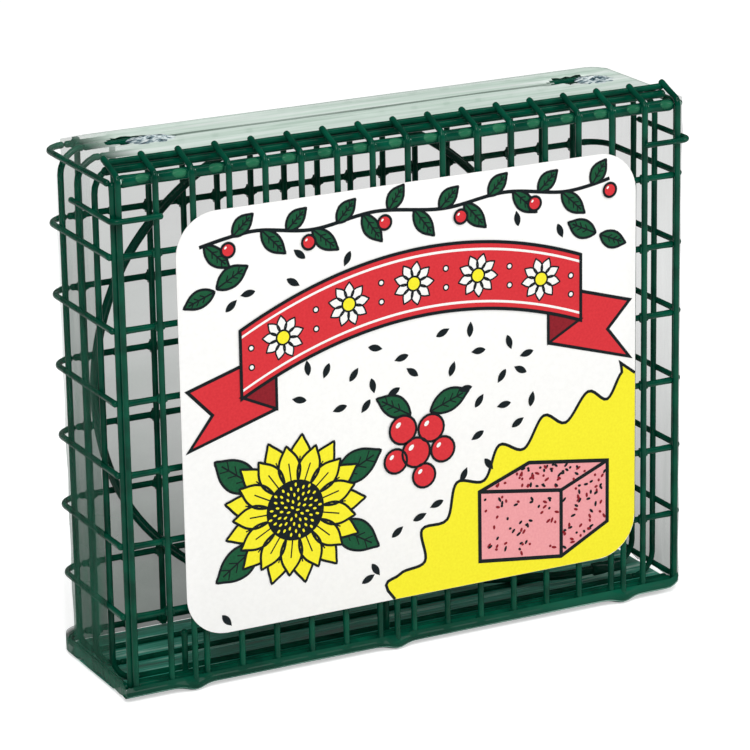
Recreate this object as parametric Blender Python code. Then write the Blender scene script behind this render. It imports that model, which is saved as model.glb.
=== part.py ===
"""Wire cage feeder for a large suet or seed cake, with a drop-down front door.

Metres, +Z up, front facing -Y, origin at the bottom centre of the whole object.
Every rod is a dipped steel wire: the sizes given are those over the vinyl.
"""
import math

import bmesh
import bpy
from mathutils import Quaternion, Vector
from mathutils.geometry import interpolate_bezier

MM = 0.001

# Rods and gaps
WIRE_D = 2.2 * MM
RIM_D = 2.8 * MM
TOP_RIM_D = 4.0 * MM
POST_D = 2.4 * MM
GAP = 0.3 * MM
FUSE = 0.8 * MM
MESH_SIDES_DETAIL = 1
ROD_SIDES_DETAIL = 2
BEND_STEPS = 4
MERGE_SHARE = 0.001
SHARP_ANGLE = math.radians(70)

# Front mesh: the door's uprights and rails
DOOR_PITCH = 13.4 * MM
RAIL_PITCH = 25.4 * MM
DOOR_BAYS = 16
RAIL_BAYS = 7
RAIL_OVERHANG = 0.5 * MM
UPRIGHT_TAIL = 0.9 * MM

# Lip of the door, which leans back over the top rail
LIP_RISE = 1.9 * MM
LIP_BACK = 10.6 * MM
LIP_UP = 4.0 * MM
LIP_BEND = 3.0 * MM
LIP_BEND_STEPS = 2
LIP_TAIL = 1.5 * MM
LIP_RAIL_DROP = 1.1 * MM

# Cage depth and its side, back, top and bottom rods
CAGE_DEPTH = 58.6 * MM
CORNER_BEND = 8.0 * MM
LEG_FIRST = 17.4 * MM
LEG_REAR_SET = 12.0 * MM
LEG_COUNT = 3
BACK_PITCH = 13.0 * MM
BACK_UPRIGHTS = 16
BACK_TAIL = 1.4 * MM
BAR_BEND = 8.5 * MM
BAR_TAIL = 0.5 * MM
POST_HEAD = 0.3 * MM
POST_FOOT = 0.7 * MM

# Hinge hooks and latch ears, both fixed to the door
HINGE_DROP = 0.4 * MM
HOOK_BAY_SHARES = (1.63, 7.46, 14.34)
HOOK_TOP_TAIL = 1.5 * MM
HOOK_INNER_LEG = 15.0 * MM
EAR_D = 2.0 * MM
EAR_DROP = 12.2 * MM
EAR_BACK = 33.0 * MM
EAR_BEND = 3.0 * MM
EAR_TAIL = 1.5 * MM

# Label card, tied in front of the door
LABEL_WIDTH = 177.0 * MM
LABEL_HEIGHT = 150.0 * MM
LABEL_FOOT = 15.0 * MM
LABEL_CORNER = 15.0 * MM
LABEL_THICK = 0.4 * MM
LABEL_CORNER_STEPS = 6

# Clear film, shrunk over the top, the sides and the back
FILM_THICK = 0.3 * MM
FILM_LIP_GAP = 0.6 * MM
FILM_LIFT = 1.0 * MM
FILM_SOFT_EDGE = 2.0 * MM
FILM_EDGE_STEPS = 3
VENT_LENGTH = 16.0 * MM
VENT_WIDTH = 8.0 * MM
VENT_SIDES = 16
VENT_LEFT_INSET = 29.0 * MM
VENT_RIGHT_INSET = 19.0 * MM
VENT_REAR_INSET = 19.0 * MM
VENT_OVERRUN = 2.0 * MM

# Hanger cable, stored as a loop against the back, with a sleeve on each end
CABLE_D = 3.2 * MM
CABLE_STEP = 9.0 * MM
SLEEVE_D = 4.8 * MM
SLEEVE_LENGTH = 10.0 * MM

# Worked out from the sizes above
WIRE_R = WIRE_D / 2
RIM_R = RIM_D / 2
POST_R = POST_D / 2
EAR_R = EAR_D / 2
ROD_SIDES = 4 + 2 * ROD_SIDES_DETAIL
DOOR_HALF = DOOR_BAYS * DOOR_PITCH / 2
RAIL_SET = 2 * WIRE_R - FUSE
RIM_SET = WIRE_R + RIM_R - FUSE
TOP_RIM_SET = WIRE_R + TOP_RIM_D / 2 - FUSE
HINGE_Y = RIM_SET + 2 * RIM_R + GAP
HOOK_BEND = RIM_R + GAP + WIRE_R
BASE_RAIL_Z = HINGE_DROP + HOOK_BEND + WIRE_R
HINGE_Z = BASE_RAIL_Z - HINGE_DROP
TOP_RAIL_Z = BASE_RAIL_Z + RAIL_BAYS * RAIL_PITCH
SIDE_X = DOOR_HALF + 2 * WIRE_R + GAP
LEG_X = SIDE_X - RAIL_SET
POST_X = SIDE_X - (WIRE_R + POST_R - FUSE)
POST_Y = math.sqrt((WIRE_R + POST_R + GAP) ** 2 - (POST_X - DOOR_HALF) ** 2)
DOOR_RAIL_END_X = POST_X - POST_R - GAP
BAR_END_X = LEG_X - BAR_BEND - BAR_TAIL
EAR_X = SIDE_X + GAP + EAR_R - (RAIL_SET - WIRE_R)
BACK_RAIL_Y = CAGE_DEPTH
BACK_UPRIGHT_Y = BACK_RAIL_Y - RAIL_SET
FLAT_R = WIRE_R * math.cos(math.pi / ROD_SIDES)
BOTTOM_BAR_Z = FLAT_R
TOP_BAR_Z = TOP_RAIL_Z + RAIL_SET
LEG_PITCH = (CAGE_DEPTH - LEG_REAR_SET - LEG_FIRST) / (LEG_COUNT - 1)
LIP_BEND_Z = TOP_RAIL_Z + LIP_RISE
LIP_RAIL_Z = LIP_BEND_Z + LIP_UP - LIP_RAIL_DROP
FRONT_TOP_RAIL_Z = LIP_RAIL_Z - WIRE_R - GAP - RIM_R
EAR_Y = -(WIRE_R + GAP + EAR_R)
LABEL_Y = RIM_SET - RIM_R - 2 * GAP - 2 * WIRE_R
FILM_X = EAR_X + EAR_R + GAP
FILM_Y = BACK_RAIL_Y + WIRE_R + GAP
FILM_Z = TOP_BAR_Z + WIRE_R + GAP
FILM_FRONT_Y = LIP_BACK + LIP_TAIL + WIRE_R + FILM_LIP_GAP
FRONT_REACH = -EAR_Y + EAR_R
REAR_REACH = FILM_Y + FILM_THICK
DOOR_Y = (FRONT_REACH - REAR_REACH) / 2

# The cable's route, from the end by the door to the end high up behind the label, in millimetres
# as across, behind the door's uprights and above the floor
CABLE_ROUTE = (
    (86.0, 21.0, 5.4), (74.0, 24.0, 4.2), (58.0, 30.0, 4.2), (38.0, 38.5, 4.2), (16.0, 47.0, 4.4),
    (-8.0, 52.6, 6.0), (-30.0, 54.0, 8.9), (-51.0, 54.0, 17.8), (-69.0, 54.0, 30.8),
    (-83.5, 54.0, 48.0), (-92.6, 54.0, 68.6), (-96.0, 54.0, 93.0), (-92.6, 54.0, 116.8),
    (-83.5, 54.0, 138.0), (-69.5, 54.0, 155.0), (-51.5, 54.0, 168.4), (-30.6, 54.0, 176.8),
    (-8.5, 54.0, 180.0), (13.6, 54.0, 176.8), (34.0, 54.0, 168.6), (51.6, 54.0, 155.4),
    (65.8, 54.0, 138.4), (75.0, 54.0, 118.0), (78.6, 54.0, 96.0), (77.4, 54.0, 74.0),
)


def clear_scene():
    for item in list(bpy.data.objects):
        bpy.data.objects.remove(item, do_unlink=True)


def finish(name, colour, roughness, metallic=0.0, alpha=1.0):
    """A plain material with the piece's own colour and gloss."""
    material = bpy.data.materials.get(name)
    if material is None:
        material = bpy.data.materials.new(name)
        material.use_nodes = True
        shader = material.node_tree.nodes["Principled BSDF"]
        shader.inputs["Base Color"].default_value = (*colour, 1.0)
        shader.inputs["Roughness"].default_value = roughness
        shader.inputs["Metallic"].default_value = metallic
        shader.inputs["Alpha"].default_value = alpha
    return material


def vinyl():
    return finish("dipped_vinyl_green", (0.004, 0.085, 0.042), 0.3)


def board():
    return finish("label_board", (0.9, 0.9, 0.88), 0.5)


def clear_film():
    return finish("shrink_film", (0.9, 0.93, 0.9), 0.12, alpha=0.25)


def placed(item, material):
    """Link an object, stand it in the row's frame and give it its material."""
    bpy.context.scene.collection.objects.link(item)
    item.location.y = DOOR_Y
    item.data.materials.append(material)
    return item


def bent(points, radius, steps=BEND_STEPS):
    """The centre line of a rod that is bent at each inner corner, with arcs of one radius."""
    path = [Vector(points[0])]
    for before, corner, after in zip(points, points[1:], points[2:]):
        corner = Vector(corner)
        back = (Vector(before) - corner).normalized()
        ahead = (Vector(after) - corner).normalized()
        half = back.angle(ahead) / 2
        reach = radius / math.tan(half)
        middle = corner + (back + ahead).normalized() * (radius / math.sin(half))
        spoke = corner + back * reach - middle
        last = corner + ahead * reach - middle
        axis = spoke.cross(last).normalized()
        sweep = spoke.angle(last)
        for step in range(steps + 1):
            path.append(middle + Quaternion(axis, sweep * step / steps) @ spoke)
    path.append(Vector(points[-1]))
    return path


def smooth(points, step):
    """Points at an even step on a smooth curve through the given points."""
    ends = [points[0] * 2 - points[1], *points, points[-1] * 2 - points[-2]]
    fine = []
    for a, b, c, d in zip(ends, ends[1:], ends[2:], ends[3:]):
        count = max(2, round((c - b).length / step))
        span = interpolate_bezier(b, b + (c - a) / 6, c - (d - b) / 6, c, count + 1)
        fine.extend(span[:-1])
    fine.append(points[-1])
    return fine


def rod_curve(name, rods, detail=ROD_SIDES_DETAIL):
    """A curve object of round rods, each given as its centre line and its diameter.

    A single rod is turned so that one of its flats faces down.
    """
    curve = bpy.data.curves.new(name, "CURVE")
    curve.dimensions = "3D"
    curve.bevel_depth = WIRE_R
    curve.bevel_resolution = detail
    curve.use_fill_caps = True
    for path, diameter in rods:
        spline = curve.splines.new("POLY")
        spline.points.add(len(path) - 1)
        for point, place in zip(spline.points, path):
            point.co = (*place, 1.0)
            point.radius = diameter / WIRE_D
            point.tilt = math.pi / ROD_SIDES if detail == ROD_SIDES_DETAIL else 0.0
    return bpy.data.objects.new(name, curve)


def rod(name, path, diameter=WIRE_D):
    return placed(rod_curve(name, [(path, diameter)]), vinyl())


def rod_mesh(name, rods):
    """The same rods as a closed mesh, ready for a union."""
    source = rod_curve(name + "_line", rods, MESH_SIDES_DETAIL)
    bpy.context.scene.collection.objects.link(source)
    bpy.context.view_layer.update()
    mesh = bpy.data.meshes.new_from_object(source.evaluated_get(bpy.context.evaluated_depsgraph_get()))
    bpy.data.objects.remove(source, do_unlink=True)
    merge = bmesh.new()
    merge.from_mesh(mesh)
    bmesh.ops.remove_doubles(merge, verts=merge.verts, dist=WIRE_D * MERGE_SHARE)
    bmesh.ops.recalc_face_normals(merge, faces=merge.faces)
    merge.to_mesh(mesh)
    merge.free()
    mesh.name = name
    return bpy.data.objects.new(name, mesh)


def welded(name, uprights, rails):
    """A welded mesh panel: its uprights and its rails are one solid."""
    panel = placed(rod_mesh(name, uprights), vinyl())
    cross = placed(rod_mesh(name + "_rails", rails), vinyl())
    cross.hide_render = True
    cross.display_type = "WIRE"
    weld = panel.modifiers.new("weld", "BOOLEAN")
    weld.operation = "UNION"
    weld.solver = "EXACT"
    weld.object = cross
    return panel


def rail_heights():
    return [BASE_RAIL_Z + level * RAIL_PITCH for level in range(RAIL_BAYS + 1)]


def rim_size(level):
    """The rails at the foot and the head of the door are its thicker rim."""
    return {0: (RIM_D, RIM_SET), RAIL_BAYS: (TOP_RIM_D, TOP_RIM_SET)}.get(level, (WIRE_D, RAIL_SET))


def make_door():
    """Seventeen uprights that lean back over the top in a lip, on eight rails and a lip rail."""
    lip_run = Vector((0.0, LIP_BACK, LIP_UP)).normalized()
    uprights = []
    for bay in range(DOOR_BAYS + 1):
        x = bay * DOOR_PITCH - DOOR_HALF
        head = Vector((x, LIP_BACK, LIP_BEND_Z + LIP_UP)) + lip_run * LIP_TAIL
        line = [(x, 0.0, BASE_RAIL_Z - UPRIGHT_TAIL), (x, 0.0, LIP_BEND_Z), head]
        uprights.append((bent(line, LIP_BEND, LIP_BEND_STEPS), WIRE_D))
    rails = []
    for level, z in enumerate(rail_heights()):
        size, y = rim_size(level)
        rails.append(([(-DOOR_RAIL_END_X, y, z), (DOOR_RAIL_END_X, y, z)], size))
    end = DOOR_HALF + RAIL_OVERHANG
    rails.append(([(-end, LIP_BACK, LIP_RAIL_Z), (end, LIP_BACK, LIP_RAIL_Z)], WIRE_D))
    return welded("door_grille", uprights, rails)


def make_hinge_hook(name, bays):
    """A hook on the door's two lowest rails, which passes under the hinge rail and up inside."""
    x = bays * DOOR_PITCH - DOOR_HALF
    front = RIM_SET - RIM_R - GAP - WIRE_R
    inner = HINGE_Y + HOOK_BEND
    floor = HINGE_Z - HOOK_BEND
    line = [(x, front, BASE_RAIL_Z + RAIL_PITCH + HOOK_TOP_TAIL), (x, front, floor),
            (x, inner, floor), (x, inner, BASE_RAIL_Z + HOOK_INNER_LEG)]
    return rod(name, bent(line, HOOK_BEND))


def make_latch_ear(name, side):
    """An L of spring wire: along the door's front, round the corner and back along the side."""
    z = TOP_RAIL_Z - EAR_DROP
    inner = DOOR_HALF - DOOR_PITCH - EAR_TAIL
    line = [(side * inner, EAR_Y, z), (side * EAR_X, EAR_Y, z), (side * EAR_X, EAR_BACK, z)]
    return rod(name, bent(line, EAR_BEND), EAR_D)


def leg_places():
    return [LEG_FIRST + index * LEG_PITCH for index in range(LEG_COUNT)]


def make_side(name, side):
    """A side panel: a front post and three legs, on eight rails that turn the rear corner.

    The legs turn in under the floor and over the top, where the cross bars carry on.
    """
    post = [(side * POST_X, POST_Y, BASE_RAIL_Z - POST_FOOT),
            (side * POST_X, POST_Y, TOP_RAIL_Z + POST_HEAD)]
    uprights = [(post, POST_D)]
    for y in leg_places():
        line = [(side * BAR_END_X, y, BOTTOM_BAR_Z), (side * LEG_X, y, BOTTOM_BAR_Z),
                (side * LEG_X, y, TOP_BAR_Z), (side * BAR_END_X, y, TOP_BAR_Z)]
        uprights.append((bent(line, BAR_BEND), WIRE_D))
    rails = []
    for z in rail_heights():
        line = [(side * SIDE_X, POST_Y, z), (side * SIDE_X, BACK_RAIL_Y, z),
                (side * (SIDE_X - CORNER_BEND), BACK_RAIL_Y, z)]
        path = bent(line, CORNER_BEND)[:-1]
        rails.append((path, WIRE_D))
    return welded(name, uprights, rails)


def make_back():
    """The back panel: sixteen uprights inside eight rails, between the two corner bends."""
    foot = BASE_RAIL_Z - BACK_TAIL
    head = TOP_RAIL_Z + BACK_TAIL
    uprights = []
    for index in range(BACK_UPRIGHTS):
        x = (index - (BACK_UPRIGHTS - 1) / 2) * BACK_PITCH
        uprights.append(([(x, BACK_UPRIGHT_Y, foot), (x, BACK_UPRIGHT_Y, head)], WIRE_D))
    end = SIDE_X - CORNER_BEND - GAP
    rails = [([(-end, BACK_RAIL_Y, z), (end, BACK_RAIL_Y, z)], WIRE_D) for z in rail_heights()]
    return welded("back_grille", uprights, rails)


def make_bar(name, y, z):
    """A left-to-right rod of the top or the bottom, which carries on from the legs' turned ends."""
    end = BAR_END_X - GAP
    return rod(name, [(-end, y, z), (end, y, z)])


def make_cross_rail(name, y, z, end):
    """A thick rod across the cage behind the door."""
    return rod(name, [(-end, y, z), (end, y, z)], RIM_D)


def make_label():
    """A card with round corners, standing just in front of the door."""
    shape = bmesh.new()
    half_w = LABEL_WIDTH / 2 - LABEL_CORNER
    half_h = LABEL_HEIGHT / 2 - LABEL_CORNER
    middle = BASE_RAIL_Z + LABEL_FOOT + LABEL_HEIGHT / 2
    corners = ((1, 1), (-1, 1), (-1, -1), (1, -1))
    outline = []
    for quarter, (across, up) in enumerate(corners):
        for step in range(LABEL_CORNER_STEPS + 1):
            angle = math.pi / 2 * (quarter + step / LABEL_CORNER_STEPS)
            x = across * half_w + LABEL_CORNER * math.cos(angle)
            z = middle + up * half_h + LABEL_CORNER * math.sin(angle)
            outline.append(shape.verts.new((x, LABEL_Y, z)))
    card = shape.faces.new(outline)
    grown = bmesh.ops.extrude_face_region(shape, geom=[card])["geom"]
    front = [item for item in grown if isinstance(item, bmesh.types.BMVert)]
    bmesh.ops.translate(shape, verts=front, vec=(0.0, -LABEL_THICK, 0.0))
    bmesh.ops.recalc_face_normals(shape, faces=shape.faces)
    mesh = bpy.data.meshes.new("label_card")
    shape.to_mesh(mesh)
    shape.free()
    return placed(bpy.data.objects.new("label_card", mesh), board())


def make_vent(name, x):
    """The cutter for one oval vent hole in the film's top."""
    shape = bmesh.new()
    bmesh.ops.create_cone(shape, cap_ends=True, segments=VENT_SIDES, radius1=VENT_LENGTH / 2,
                          radius2=VENT_LENGTH / 2, depth=2 * VENT_OVERRUN)
    bmesh.ops.scale(shape, vec=(1.0, VENT_WIDTH / VENT_LENGTH, 1.0), verts=shape.verts)
    bmesh.ops.translate(shape, vec=(x, FILM_Y - VENT_REAR_INSET, FILM_Z), verts=shape.verts)
    mesh = bpy.data.meshes.new(name)
    shape.to_mesh(mesh)
    shape.free()
    cutter = placed(bpy.data.objects.new(name, mesh), clear_film())
    cutter.hide_render = True
    cutter.display_type = "WIRE"
    return cutter


def make_film():
    """A thin skin over the top, the sides and the back, open in front of the door and below."""
    shape = bmesh.new()
    bmesh.ops.create_cube(shape, size=1.0)
    size = (2 * FILM_X, FILM_Y - FILM_FRONT_Y, FILM_Z - FILM_LIFT)
    bmesh.ops.scale(shape, vec=size, verts=shape.verts)
    centre = (0.0, (FILM_Y + FILM_FRONT_Y) / 2, (FILM_Z + FILM_LIFT) / 2)
    bmesh.ops.translate(shape, vec=centre, verts=shape.verts)
    open_faces = [face for face in shape.faces if face.normal.y < -0.5 or face.normal.z < -0.5]
    bmesh.ops.delete(shape, geom=open_faces, context="FACES")
    folds = [edge for edge in shape.edges if len(edge.link_faces) == 2]
    bmesh.ops.bevel(shape, geom=folds, offset=FILM_SOFT_EDGE, segments=FILM_EDGE_STEPS,
                    affect="EDGES", profile=0.5, material=-1)
    bmesh.ops.recalc_face_normals(shape, faces=shape.faces)
    if sum(face.normal.z * face.calc_area() for face in shape.faces) < 0:
        bmesh.ops.reverse_faces(shape, faces=shape.faces)
    mesh = bpy.data.meshes.new("shrink_film")
    shape.to_mesh(mesh)
    shape.free()
    film = placed(bpy.data.objects.new("shrink_film", mesh), clear_film())
    wall = film.modifiers.new("wall", "SOLIDIFY")
    wall.thickness = FILM_THICK
    wall.offset = 1.0
    wall.use_even_offset = True
    vents = (("vent_cut_left", VENT_LEFT_INSET - FILM_X), ("vent_cut_right", FILM_X - VENT_RIGHT_INSET))
    for name, x in vents:
        cut = film.modifiers.new(name, "BOOLEAN")
        cut.operation = "DIFFERENCE"
        cut.solver = "EXACT"
        cut.object = make_vent(name, x)
    return film


def make_hanger():
    """The hanger cable along its stored route, and a sleeve past each of its ends."""
    route = [Vector(place) * MM for place in CABLE_ROUTE]
    path = smooth(route, CABLE_STEP)
    rod("hanger_cable", path, CABLE_D)
    for name, end, inner in (("sleeve_low", path[0], path[1]), ("sleeve_high", path[-1], path[-2])):
        out = (end - inner).normalized()
        start = end + out * GAP
        rod(name, [start, start + out * SLEEVE_LENGTH], SLEEVE_D)


def smooth_shading():
    for item in bpy.data.objects:
        if item.type == "MESH" and not item.hide_render:
            item.data.shade_smooth()
            item.data.set_sharp_from_angle(angle=SHARP_ANGLE)


def build():
    clear_scene()
    hinge = bpy.data.objects.new("door_hinge", None)
    hinge.location = (0.0, DOOR_Y + HINGE_Y, HINGE_Z)
    bpy.context.scene.collection.objects.link(hinge)
    moving = [make_door(), make_label()]
    for name, bays in zip(("hinge_hook_left", "hinge_hook_middle", "hinge_hook_right"), HOOK_BAY_SHARES):
        moving.append(make_hinge_hook(name, bays))
    moving.append(make_latch_ear("latch_ear_left", -1))
    moving.append(make_latch_ear("latch_ear_right", 1))
    for piece in moving:
        piece.parent = hinge
        piece.location = Vector((0.0, DOOR_Y, 0.0)) - hinge.location
    rails = bpy.data.objects["door_grille_rails"]
    rails.parent = hinge
    rails.location = Vector((0.0, DOOR_Y, 0.0)) - hinge.location
    make_side("left_grille", -1)
    make_side("right_grille", 1)
    make_back()
    for place, y in zip(("front", "middle", "rear"), leg_places()):
        make_bar("top_bar_" + place, y, TOP_BAR_Z)
        make_bar("bottom_bar_" + place, y, BOTTOM_BAR_Z)
    make_cross_rail("front_top_rail", LIP_BACK, FRONT_TOP_RAIL_Z, SIDE_X - WIRE_R - GAP)
    make_cross_rail("hinge_rail", HINGE_Y, HINGE_Z, POST_X - POST_R)
    make_hanger()
    make_film()
    smooth_shading()


build()
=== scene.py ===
"""Looks of the suet feeder: vinyl-dipped wire mesh, a printed card, clear film and a stored cable."""

import math
import random

import bmesh
import bpy
from mathutils import Matrix, Quaternion, Vector, noise
from mathutils.geometry import interpolate_bezier


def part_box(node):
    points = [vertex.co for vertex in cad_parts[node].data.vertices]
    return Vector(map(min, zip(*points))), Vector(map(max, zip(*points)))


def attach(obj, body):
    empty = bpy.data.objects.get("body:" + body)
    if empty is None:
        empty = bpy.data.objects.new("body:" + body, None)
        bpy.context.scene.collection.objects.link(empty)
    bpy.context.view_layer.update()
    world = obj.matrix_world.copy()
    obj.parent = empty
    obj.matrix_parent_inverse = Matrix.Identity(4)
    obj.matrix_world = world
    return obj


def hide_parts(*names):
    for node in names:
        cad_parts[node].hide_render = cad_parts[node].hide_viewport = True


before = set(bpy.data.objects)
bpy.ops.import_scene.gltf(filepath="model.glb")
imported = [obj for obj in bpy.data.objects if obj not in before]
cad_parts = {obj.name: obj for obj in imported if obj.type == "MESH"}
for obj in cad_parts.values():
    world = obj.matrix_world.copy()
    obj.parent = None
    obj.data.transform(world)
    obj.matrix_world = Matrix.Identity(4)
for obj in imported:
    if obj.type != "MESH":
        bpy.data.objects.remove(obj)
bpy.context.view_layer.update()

MM = 0.001

# Places shared with the solids, in metres; depths are counted from the door's uprights
DOOR_Y = -28.45 * MM
WIRE_R = 1.1 * MM
RIM_R = 1.4 * MM
TOP_RIM_R = 2.0 * MM  # the door's head rail is the thickest wire
POST_R = 1.2 * MM
EAR_R = 1.0 * MM
DOOR_PITCH = 13.4 * MM
DOOR_BAYS = 16
DOOR_HALF = DOOR_PITCH * DOOR_BAYS / 2
RAIL_PITCH = 25.4 * MM
RAIL_BAYS = 7
BASE_RAIL_Z = 4.3 * MM
TOP_RAIL_Z = BASE_RAIL_Z + RAIL_PITCH * RAIL_BAYS
RAIL_SET = 1.4 * MM
RIM_SET = 1.7 * MM
TOP_RIM_SET = 2.3 * MM
UPRIGHT_TAIL = 0.9 * MM
HINGE_Y = 4.8 * MM
HINGE_Z = 3.9 * MM
HOOK_BEND = 2.8 * MM
SIDE_X = 109.7 * MM
LEG_X = 108.3 * MM
POST_X = 108.2 * MM
POST_Y = 2.4 * MM
POST_HEAD = 0.3 * MM
POST_FOOT = 0.7 * MM
DOOR_RAIL_END_X = 106.7 * MM
RAIL_OVERHANG = 0.5 * MM
EAR_X = 110.7 * MM
EAR_Y = -2.4 * MM
EAR_Z = TOP_RAIL_Z - 12.2 * MM
EAR_BACK = 33.0 * MM
EAR_BEND = 3.0 * MM
BACK_RAIL_Y = 58.6 * MM
BACK_UPRIGHT_Y = 57.2 * MM
BACK_PITCH = 13.0 * MM
BACK_UPRIGHTS = 16
BACK_TAIL = 1.4 * MM
CORNER_BEND = 8.0 * MM
BOTTOM_BAR_Z = 1.1 * MM
TOP_BAR_Z = 183.5 * MM
BAR_END_X = 99.3 * MM
BAR_BEND = 8.5 * MM
BAR_TAIL = 0.6 * MM
LIP_BEND_Z = 184.0 * MM
LIP_BACK = 10.6 * MM
LIP_UP = 4.0 * MM
LIP_BEND = 3.0 * MM
LIP_TAIL = 1.5 * MM
LIP_RAIL_Z = 186.9 * MM
FRONT_TOP_RAIL_Z = 184.1 * MM
FRONT_TOP_RAIL_END_X = 108.3 * MM
LEG_PLACES = (17.4 * MM, 32.0 * MM, 46.6 * MM)
CABLE_D = 3.2 * MM
CABLE_STEP = 4.5 * MM
SLEEVE_R = 2.4 * MM
SLEEVE_LENGTH = 10.0 * MM
SLEEVE_LAP = 1.5 * MM

# Vinyl pooled at the welds: half a wire, how far the corners are filled, and its thickness
FILLET_ARM = 0.95 * MM
FILLET_DEPTH = 1.9 * MM
DOOR_FILLET = 1.7 * MM
BACK_FILLET = 2.3 * MM

# The door's hooks, each with its place along the door counted in bays
HOOK_BAYS = (("hinge_hook_left", 1.63), ("hinge_hook_middle", 7.46), ("hinge_hook_right", 14.34))
HOOK_TAIL = 1.5 * MM
HOOK_INNER_LEG = 15.0 * MM

# The cable's route, from its end by the door to its end high up behind the card
CABLE_ROUTE = (
    (0.086, 0.021, 0.0054), (0.074, 0.024, 0.0042), (0.058, 0.030, 0.0042), (0.038, 0.0385, 0.0042),
    (0.016, 0.047, 0.0044), (-0.008, 0.0526, 0.006), (-0.030, 0.054, 0.0089),
    (-0.051, 0.054, 0.0178), (-0.069, 0.054, 0.0308), (-0.0835, 0.054, 0.048),
    (-0.0926, 0.054, 0.0686), (-0.096, 0.054, 0.093), (-0.0926, 0.054, 0.1168),
    (-0.0835, 0.054, 0.138), (-0.0695, 0.054, 0.155), (-0.0515, 0.054, 0.1684),
    (-0.0306, 0.054, 0.1768), (-0.0085, 0.054, 0.180), (0.0136, 0.054, 0.1768),
    (0.034, 0.054, 0.1686), (0.0516, 0.054, 0.1554), (0.0658, 0.054, 0.1384),
    (0.075, 0.054, 0.118), (0.0786, 0.054, 0.096), (0.0774, 0.054, 0.074),
)


# Objects and meshes

def placed(name, data):
    """A new object in the scene."""
    item = bpy.data.objects.new(name, data)
    bpy.context.scene.collection.objects.link(item)
    return item


def mesh_of(name, shape):
    """The mesh of a finished bmesh."""
    mesh = bpy.data.meshes.new(name)
    shape.to_mesh(mesh)
    shape.free()
    return mesh


def soften(shape, edges, width, steps):
    """Round off some edges of a bmesh."""
    bmesh.ops.bevel(shape, geom=edges, offset=width, segments=steps, affect="EDGES", profile=0.5,
                    material=-1)


# Camera, at the photograph's viewing angle

def set_camera():
    """The view from the lower left front, a little above, from the fit to the photograph."""
    azimuth = math.radians(-26.83)
    height = math.radians(17.51)
    roll = math.radians(-0.98)
    distance = 1.3194
    target = Vector((-13.9, -28.45, 101.8)) * MM
    back = Vector((math.sin(azimuth) * math.cos(height), -math.cos(azimuth) * math.cos(height),
                   math.sin(height)))
    across = (-back).cross(Vector((0.0, 0.0, 1.0))).normalized()
    up = across.cross(-back)
    right = across * math.cos(roll) + up * math.sin(roll)
    top = up * math.cos(roll) - across * math.sin(roll)
    camera = placed("camera", bpy.data.cameras.new("camera"))
    place = target + back * distance
    camera.matrix_world = Matrix((
        (right.x, top.x, back.x, place.x),
        (right.y, top.y, back.y, place.y),
        (right.z, top.z, back.z, place.z),
        (0.0, 0.0, 0.0, 1.0)))
    camera.data.sensor_width = 36.0
    camera.data.lens = 183.94
    camera.data.clip_start = 0.05
    bpy.context.scene.camera = camera


# Finishes

def linear(code):
    """A colour written as sRGB hex, in linear values."""
    parts = [int(code[start:start + 2], 16) / 255 for start in (1, 3, 5)]
    return tuple(p / 12.92 if p <= 0.04045 else ((p + 0.055) / 1.055) ** 2.4 for p in parts) + (1.0,)


def add(tree, kind, settings=None, links=None):
    """Add one shader node, with its settings and the sockets that feed it."""
    made = tree.nodes.new("ShaderNode" + kind)
    for key, value in (settings or {}).items():
        if isinstance(key, str) and hasattr(made, key):
            setattr(made, key, value)
        else:
            made.inputs[key].default_value = value
    for key, source in (links or {}).items():
        tree.links.new(source, made.inputs[key])
    return made


def rescaled(tree, source, low, high, start=0.0, end=1.0):
    """A value brought from one range into another."""
    ranges = {"From Min": start, "From Max": end, "To Min": low, "To Max": high}
    return add(tree, "MapRange", ranges, {"Value": source}).outputs["Result"]


def blank(name, settings):
    """A new material, its node tree, its shader and the piece's own coordinates."""
    material = bpy.data.materials.new(name)
    material.use_nodes = True
    tree = material.node_tree
    shader = tree.nodes["Principled BSDF"]
    for key, value in settings.items():
        shader.inputs[key].default_value = value
    place = add(tree, "TexCoord").outputs["Object"]
    return material, tree, shader, place


def shades(tree, factor, stops):
    """A colour ramp between hex colours at the given stops."""
    ramp = add(tree, "ValToRGB", links={"Fac": factor})
    marks = ramp.color_ramp.elements
    while len(marks) < len(stops):
        marks.new(1.0)
    for mark, (position, code) in zip(marks, stops):
        mark.position = position
        mark.color = linear(code)
    return ramp.outputs["Color"]


def toned(tree, shader, place, grain, detail, stops, rough):
    """Noise of one grain size drives the colour and the roughness, and is handed back."""
    mottle = add(tree, "TexNoise", {"Scale": 1 / grain, "Detail": detail},
                 {"Vector": place}).outputs["Fac"]
    tree.links.new(shades(tree, mottle, stops), shader.inputs["Base Color"])
    tree.links.new(rescaled(tree, mottle, *rough), shader.inputs["Roughness"])
    return mottle


def raised(tree, shader, source, strength, height):
    """Small bumps from a texture."""
    bump = add(tree, "Bump", {"Strength": strength, "Distance": height}, {"Height": source})
    tree.links.new(bump.outputs["Normal"], shader.inputs["Normal"])


def dipped_vinyl(name, thin, full, gloss):
    """PVC plastisol, dipped over steel wire and baked.

    Glossy and deep green, a little lighter where the coat is thick, with the soft
    unevenness of a skin that ran before it set.
    """
    material, tree, shader, place = blank(name, {"IOR": 1.46, "Specular IOR Level": 0.16})
    toned(tree, shader, place, 9 * MM, 3.0, [(0.35, thin), (0.65, full)], (gloss - 0.06, gloss + 0.1))
    skin = add(tree, "TexNoise", {"Scale": 1 / (2.2 * MM), "Detail": 2.0}, {"Vector": place})
    raised(tree, shader, skin.outputs["Fac"], 0.35, 0.12 * MM)
    return material


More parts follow.
